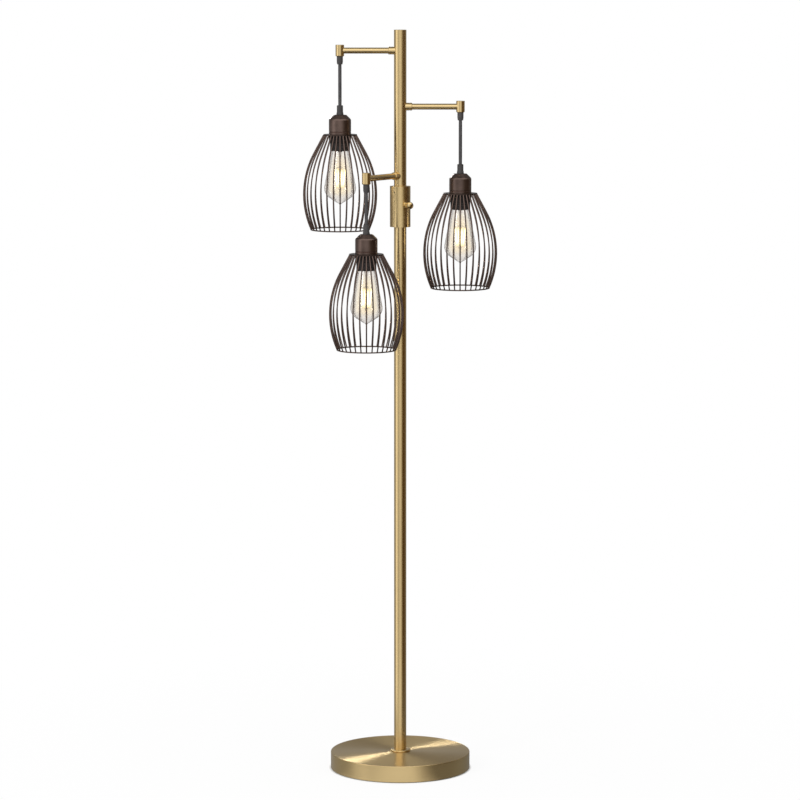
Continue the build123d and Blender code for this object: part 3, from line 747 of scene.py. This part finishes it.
def wire_curve(cage):
    """Centre and radius of a wire's curve, and the angles at its low and high ends, in a pendant's own axes."""
    wire_radius = cage.wire_diameter / 2
    radius = cage.arc_radius - wire_radius
    centre = Vector((cage.widest_radius - wire_radius - radius, 0, -cage.widest_drop))
    ring_height = CAGE_BOTTOM + wire_radius
    low = -math.asin((centre.z - ring_height) / radius)
    top = Vector((PLATE_RADIUS - cage.plate_inset, 0, PLATE_UNDERSIDE)) - centre
    high = math.atan2(top.z, top.x) - math.acos(radius / top.length)
    return centre, radius, low, high


WIRE_SIDES = 10
WIRE_STEPS = 18
WIRE_PHASE = 0.5  # share of a step, so that one wire faces straight forward


def model_wires(cage):
    """All the upright wires of a cage, about the origin: one is bent, then repeated round the axis."""
    centre, radius, low, high = wire_curve(cage)
    deselect()
    bpy.ops.mesh.primitive_circle_add(vertices=WIRE_SIDES, radius=cage.wire_diameter / 2,
                                      location=centre + radius * Vector((math.cos(low), 0, math.sin(low))),
                                      rotation=(0, -low, 0))
    wires = bpy.context.object
    apply_place(wires)
    edit(wires)
    bpy.ops.mesh.spin(steps=WIRE_STEPS, angle=high - low, center=centre, axis=(0, 1, 0))
    touch = centre + radius * Vector((math.cos(high), 0, math.sin(high)))
    root = Vector((PLATE_RADIUS - cage.plate_inset, 0, PLATE_UNDERSIDE / 2))
    bpy.ops.mesh.extrude_region_move(TRANSFORM_OT_translate={"value": root - touch})
    bpy.ops.mesh.select_all(action="SELECT")
    bpy.ops.mesh.fill_holes(sides=0)
    bpy.ops.mesh.normals_make_consistent(inside=False)
    close_edit()
    repeat_round(wires, cage.wire_count)
    wires.rotation_euler.z = math.tau * WIRE_PHASE / cage.wire_count
    apply_place(wires)
    smooth(wires)
    return wires


RING_STEPS = 136
RING_SIDES = 12
WELD_DISTANCE = 0.00001


def model_ring(cage):
    """The round wire that closes a cage at the bottom, about the origin: its section, spun round the axis."""
    wire_radius = cage.wire_diameter / 2
    deselect()
    bpy.ops.mesh.primitive_circle_add(vertices=RING_SIDES, radius=wire_radius, rotation=(math.pi / 2, 0, 0),
                                      location=(CAGE_RING_OUTER - wire_radius, 0, CAGE_BOTTOM + wire_radius))
    ring = bpy.context.object
    apply_place(ring)
    edit(ring)
    bpy.ops.mesh.spin(steps=RING_STEPS, angle=math.tau, center=(0, 0, 0), axis=(0, 0, 1))
    bpy.ops.mesh.select_all(action="SELECT")
    bpy.ops.mesh.remove_doubles(threshold=WELD_DISTANCE)
    bpy.ops.mesh.normals_make_consistent(inside=False)
    close_edit()
    smooth(ring)
    return ring


PLATE_PAINTED_SHADE = 0.45  # painted shade: the plates' paint is darkened for the shadow that the cups cast on them


class LAMP_OT_cages(bpy.types.Operator):
    """Round wires and bottom rings of the three cages"""
    bl_idname = "lamp.cages"
    bl_label = "Cages"

    def execute(self, context):
        cage = context.scene.lamp_cage
        bronze = painted_bronze(context.scene.lamp_finish.bronze)
        at_each_pendant(model_wires(cage), "round_wires", bronze, "cage_wires")
        at_each_pendant(model_ring(cage), "round_ring", bronze, "cage_ring")
        # The plates' darker colour is painted shade, standing in for the cups' shadow on them.
        plate_shaded_colour = shaded(context.scene.lamp_finish.bronze, PLATE_PAINTED_SHADE)
        dress_nodes(painted_bronze(plate_shaded_colour, "Plate bronze in painted shade"), "cage_plate")
        return {"FINISHED"}


STICK_ROUNDING = 0.001
STICK_SIDES = 12
LEAD_SIDES = 8


def model_filaments(bulb):
    """The glowing sticks of a bulb about the origin: (sticks, leads)."""
    top = Vector((bulb.top_radius, 0, SOCKET_RIM - bulb.top_drop))
    low = Vector((bulb.low_radius, 0, SOCKET_RIM - bulb.low_drop))
    stick = bar_between(low, top, bulb.core_diameter / 2, STICK_SIDES)
    rounded(stick, STICK_ROUNDING)
    upper = bar_between(top, (0, 0, top.z + bulb.lead_reach), bulb.lead_diameter / 2, LEAD_SIDES)
    lower = bar_between((0, 0, low.z - bulb.lead_reach), low, bulb.lead_diameter / 2, LEAD_SIDES)
    leads = joined(upper, lower)
    for piece in (stick, leads):
        repeat_round(piece, bulb.filament_count)
        piece.rotation_euler.z = bulb.filament_turn
        apply_place(piece)
        smooth(piece)
    return stick, leads


class LAMP_OT_bulbs(bpy.types.Operator):
    """Clear bulbs with glowing filaments"""
    bl_idname = "lamp.bulbs"
    bl_label = "Bulbs"

    def execute(self, context):
        finish, bulb = context.scene.lamp_finish, context.scene.lamp_bulb
        dress_nodes(bulb_glass(finish.glass, finish.glow_painted_glass, bulb), "bulb_glass")
        sticks, leads = model_filaments(bulb)
        sticks.visible_glossy = False
        at_each_pendant(sticks, "glowing_sticks",
                        glowing(finish.glow, finish.glow_strength, bulb), "filaments")
        at_each_pendant(leads, "filament_leads",
                        metal("Lead wire", LEAD_COLOUR, roughness=0.3), "filaments")
        return {"FINISHED"}


# ---- The studio ----
def seen_white(tree, light_path):
    """1 for the rays that see the background itself: from the camera, or through glass, or off metal."""
    seen = maths(tree, "MAXIMUM", light_path.outputs["Is Camera Ray"], light_path.outputs["Is Glossy Ray"])
    return maths(tree, "MAXIMUM", seen, light_path.outputs["Is Transmission Ray"])


def studio_world(fill):
    """Even light from all round, which is white to the camera and leaves the metal's shine to the tent."""
    world = bpy.data.worlds.new("Studio")
    world.use_nodes = True
    tree = world.node_tree
    tree.nodes.clear()
    seen = seen_white(tree, node(tree, "ShaderNodeLightPath"))
    strength = ranged(tree, seen, 0.0, 1.0, fill, 1.0)
    light = node(tree, "ShaderNodeBackground", {"Color": (1, 1, 1, 1), "Strength": strength})
    node(tree, "ShaderNodeOutputWorld", {"Surface": light.outputs[0]})
    bpy.context.scene.world = world
    world.cycles_visibility.glossy = False


FLOOR_FADE = (0.3, 1.2)  # distances from the pole over which the floor's shadow fades out
CONTACT_RING = (-0.001, 0.005)  # past the base's rim, where the floor is dark and where it is light again


def studio_floor(size, white):
    """A pale floor that keeps the lamp's shadow and turns white further out."""
    deselect()
    bpy.ops.mesh.primitive_plane_add(size=size, location=(0, 0, 0))
    floor = bpy.context.object
    floor.name = "floor"
    material, tree, shader = new_material("Floor")
    set_inputs(tree, shader, {"Base Color": (0.85, 0.85, 0.85, 1), "Roughness": 0.9,
                              "Specular IOR Level": 0.0})
    glow = node(tree, "ShaderNodeEmission", {"Color": (1, 1, 1, 1), "Strength": 1.0})
    seen = seen_white(tree, node(tree, "ShaderNodeLightPath"))
    reach = round_axis(tree)["reach"]
    rim = radius_of("base_cover")
    far = maths(tree, "MULTIPLY", ranged(tree, reach, *FLOOR_FADE, white, 1.0),
                smoothed(tree, reach, *(rim + past for past in CONTACT_RING)))
    blend = node(tree, "ShaderNodeMixShader", {0: maths(tree, "MULTIPLY", seen, far),
                                               1: shader.outputs[0], 2: glow.outputs[0]})
    output = next(n for n in tree.nodes if n.type == "OUTPUT_MATERIAL")
    tree.links.new(blend.outputs[0], output.inputs["Surface"])
    dress(floor, material)


# What the metal sees round it at the level of the eye, by degrees to the right of the front, as shares of
# TENT_STRENGTH: (degrees, red, green, blue).
TENT_PANELS = (
    (-180, .24, .24, .24), (-140, .22, .22, .22), (-100, .32, .31, .30), (-86, .55, .55, .55),
    (-76, 1.0, 1.0, 1.0), (-60, 1.0, 1.0, 1.0), (-48, .48, .48, .48), (-30, .42, .42, .41),
    (-8, .62, .62, .62), (8, .62, .62, .62), (24, .46, .45, .42), (40, .12, .09, .05),
    (60, .06, .035, .01), (92, .07, .04, .015), (112, .18, .17, .16), (150, .15, .14, .13),
    (180, .24, .24, .24),
)
TENT_STRENGTH = 1.3


def grey(tree, level):
    """A grey of a level that can be a socket."""
    return node(tree, "ShaderNodeCombineColor", {"Red": level, "Green": level, "Blue": level}).outputs[0]


def wall_colour(tree, turn):
    """Colour of the tent's wall by the turn from the front."""
    ramp = node(tree, "ShaderNodeValToRGB", {"Fac": ranged(tree, turn, -math.pi, math.pi, 0.0, 1.0)})
    stops = ramp.color_ramp.elements
    for degrees, *colour in TENT_PANELS:
        share = (degrees + 180) / 360
        stop = stops[0] if share == 0 else stops[-1] if share == 1 else stops.new(share)
        stop.position = share
        stop.color = (*colour, 1.0)
    return ramp.outputs["Color"]


def tent_material(name, build):
    """An emission whose colour is built from the turn, reach and height about the pole's axis."""
    material = bpy.data.materials.new(name)
    material.use_nodes = True
    tree = material.node_tree
    tree.nodes.clear()
    glow = node(tree, "ShaderNodeEmission", {"Color": build(tree, round_axis(tree)),
                                             "Strength": TENT_STRENGTH})
    node(tree, "ShaderNodeOutputMaterial", {"Surface": glow.outputs[0]})
    return material


WALL_TOP = (math.radians(22), math.radians(34))  # rise over which the wall gives way to the ceiling
CEILING_CROWN = (math.radians(60), math.radians(80))  # rise over which the ceiling gives way to its middle
CEILING_CROWN_COLOUR = (0.18, 0.18, 0.18)
CEILING_SIDES = (math.radians(60), math.radians(110))  # turn over which the ceiling darkens from front to back
CEILING_LEVELS = (1.0, 0.16)


def dome_colour(tree, axis):
    """The wall's panels, and a ceiling that is white at the front and dark at the back and in the middle."""
    studio = bpy.context.scene.lamp_studio
    rise = maths(tree, "ARCTAN2", maths(tree, "SUBTRACT", axis["height"], studio.tent_centre), axis["reach"])
    level = smoothed(tree, maths(tree, "ABSOLUTE", axis["turn"]), *CEILING_SIDES, *CEILING_LEVELS)
    ceiling = mixed(tree, smoothed(tree, rise, *CEILING_CROWN), grey(tree, level), CEILING_CROWN_COLOUR)
    return mixed(tree, smoothed(tree, rise, *WALL_TOP), wall_colour(tree, axis["turn"]), ceiling)


STRIP_LEVEL = 13.0
STRIP_TURN = math.radians(-163)
STRIP_RISE = math.radians(20)
STRIP_REACH = 3.1
STRIP_SIZE = (0.32, 0.65)


def strip_colour(tree, axis):
    """The strip light is as bright all over."""
    return grey(tree, STRIP_LEVEL)


def strip_light(centre_height):
    """A narrow panel behind the lamp, whose shine crosses the base's turned top."""
    level = STRIP_REACH * math.cos(STRIP_RISE)
    place = Vector((level * math.sin(STRIP_TURN), -level * math.cos(STRIP_TURN),
                    centre_height + STRIP_REACH * math.sin(STRIP_RISE)))
    deselect()
    bpy.ops.mesh.primitive_plane_add(size=1, location=place)
    strip = bpy.context.object
    strip.name = "tent_strip"
    strip.scale = (*STRIP_SIZE, 1)
    strip.rotation_euler = (-place).to_track_quat("Z", "Y").to_euler()
    apply_place(strip)
    dress(strip, tent_material("Strip light", strip_colour))
    glossy_only(strip)


# The floor near the base: the turns between which its light rises on the left and falls on the right.
CARD_LEFT = (math.radians(-68), math.radians(-18))
CARD_LEFT_LEVELS = (0.22, 0.56)
CARD_RIGHT = (math.radians(14), math.radians(38))
CARD_RIGHT_LEVELS = (1.0, 0.26)
CARD_SLANT = (0.5, 0.78)  # slant over which the floor further out changes from dark to the wall's colour
CARD_DARK = (0.03, 0.02, 0.012)
CARD_NEAR = (0.45, 0.65)  # distances from the pole over which the near floor gives way to the far one
CARD_HEIGHT = 0.0005
CARD_SIDES = 96
DOME_SEGMENTS, DOME_RINGS = 64, 32


def card_colour(tree, axis):
    """The floor: lit from the front near the base, and like the wall further out, but dark from above."""
    near = maths(tree, "MULTIPLY", ranged(tree, axis["turn"], *CARD_LEFT, *CARD_LEFT_LEVELS),
                 ranged(tree, axis["turn"], *CARD_RIGHT, *CARD_RIGHT_LEVELS))
    slant = node(tree, "ShaderNodeLayerWeight", {"Blend": 0.5}).outputs["Facing"]
    far = mixed(tree, smoothed(tree, slant, *CARD_SLANT), CARD_DARK, wall_colour(tree, axis["turn"]))
    return mixed(tree, smoothed(tree, axis["reach"], *CARD_NEAR), grey(tree, near), far)


def light_tent(radius, centre_height):
    """Panels and cards round the lamp that only its shine shows, as in a product studio."""
    deselect()
    bpy.ops.mesh.primitive_uv_sphere_add(segments=DOME_SEGMENTS, ring_count=DOME_RINGS, radius=radius,
                                         location=(0, 0, centre_height))
    dome = bpy.context.object
    dome.name = "tent_dome"
    apply_place(dome)
    dress(dome, tent_material("Light tent", dome_colour))
    glossy_only(dome)
    deselect()
    bpy.ops.mesh.primitive_circle_add(vertices=CARD_SIDES, radius=radius, fill_type="NGON",
                                      location=(0, 0, CARD_HEIGHT))
    card = bpy.context.object
    card.name = "floor_card"
    apply_place(card)
    dress(card, tent_material("Floor card", card_colour))
    glossy_only(card)
    strip_light(centre_height)


def glossy_only(thing):
    """Shows a stage piece in reflections alone."""
    thing.visible_camera = thing.visible_diffuse = thing.visible_transmission = False
    thing.visible_shadow = thing.visible_volume_scatter = False


# The soft lights: (name, place, watts). Each looks at the middle of the lamp.
SOFTBOXES = (("key", (-3.2, -3.4, 2.6), 120), ("fill", (3.4, -3.0, 2.0), 40))
SOFTBOX_TARGET = (0, 0, 0.9)
SOFTBOX_SIZE = (1.2, 2.4)


def softbox(name, place, power):
    """A soft light that the metal doesn't mirror."""
    light = bpy.data.lights.new(name, "AREA")
    light.shape = "RECTANGLE"
    light.size, light.size_y = SOFTBOX_SIZE
    light.energy = power
    lamp = bpy.data.objects.new(name, light)
    lamp.location = place
    lamp.rotation_euler = (Vector(SOFTBOX_TARGET) - Vector(place)).to_track_quat("-Z", "Y").to_euler()
    lamp.visible_glossy = False
    bpy.context.collection.objects.link(lamp)


SENSOR_WIDTH = 36.0  # millimetres
VIEW_DEPTH = 100.0


def studio_camera(studio):
    """The camera in front of the lamp, a little higher than its top and tilted down."""
    data = bpy.data.cameras.new("Camera")
    data.lens = studio.lens
    data.sensor_width = SENSOR_WIDTH
    data.clip_end = VIEW_DEPTH
    camera = bpy.data.objects.new("Camera", data)
    camera.location = (-studio.camera_shift, -studio.camera_distance, studio.camera_height)
    camera.rotation_euler = (math.pi / 2 - studio.camera_pitch, 0, 0)
    bpy.context.collection.objects.link(camera)
    bpy.context.scene.camera = camera


class LAMP_OT_studio(bpy.types.Operator):
    """White studio with soft lights and the camera"""
    bl_idname = "lamp.studio"
    bl_label = "Studio"

    def execute(self, context):
        studio = context.scene.lamp_studio
        context.scene.view_settings.view_transform = "Standard"
        studio_world(studio.fill)
        studio_floor(studio.floor_size, studio.floor_white)
        light_tent(studio.tent_radius, studio.tent_centre)
        for name, place, power in SOFTBOXES:
            softbox(name, place, power)
        studio_camera(studio)
        return {"FINISHED"}


class LAMP_PT_panel(bpy.types.Panel):
    bl_idname = "LAMP_PT_panel"
    bl_label = "Wire Cage Floor Lamp"
    bl_space_type = "VIEW_3D"
    bl_region_type = "UI"
    bl_category = "Floor Lamp"

    def draw(self, context):
        for group in PROPERTY_GROUPS:
            box = self.layout.box()
            for name in PROPERTY_GROUPS[group].__annotations__:
                box.prop(getattr(context.scene, group), name)
        for operator in OPERATORS:
            self.layout.operator(operator.bl_idname)


PROPERTY_GROUPS = {"lamp_cage": LampCage, "lamp_bulb": LampBulb, "lamp_cord": LampCord,
                   "lamp_finish": LampFinish, "lamp_studio": LampStudio}
OPERATORS = (LAMP_OT_cords, LAMP_OT_brasswork, LAMP_OT_base, LAMP_OT_sockets, LAMP_OT_cages, LAMP_OT_bulbs,
             LAMP_OT_studio)


def register():
    for group in (*PROPERTY_GROUPS.values(), *OPERATORS, LAMP_PT_panel):
        bpy.utils.register_class(group)
    for name, group in PROPERTY_GROUPS.items():
        setattr(bpy.types.Scene, name, PointerProperty(type=group))


def unregister():
    for name in PROPERTY_GROUPS:
        delattr(bpy.types.Scene, name)
    for group in (LAMP_PT_panel, *reversed(OPERATORS), *reversed(PROPERTY_GROUPS.values())):
        bpy.utils.unregister_class(group)


def main():
    register()
    bpy.ops.lamp.cords()
    bpy.ops.lamp.brasswork()
    bpy.ops.lamp.base()
    bpy.ops.lamp.sockets()
    bpy.ops.lamp.cages()
    bpy.ops.lamp.bulbs()
    bpy.ops.lamp.studio()


if __name__ == "__main__":
    main()
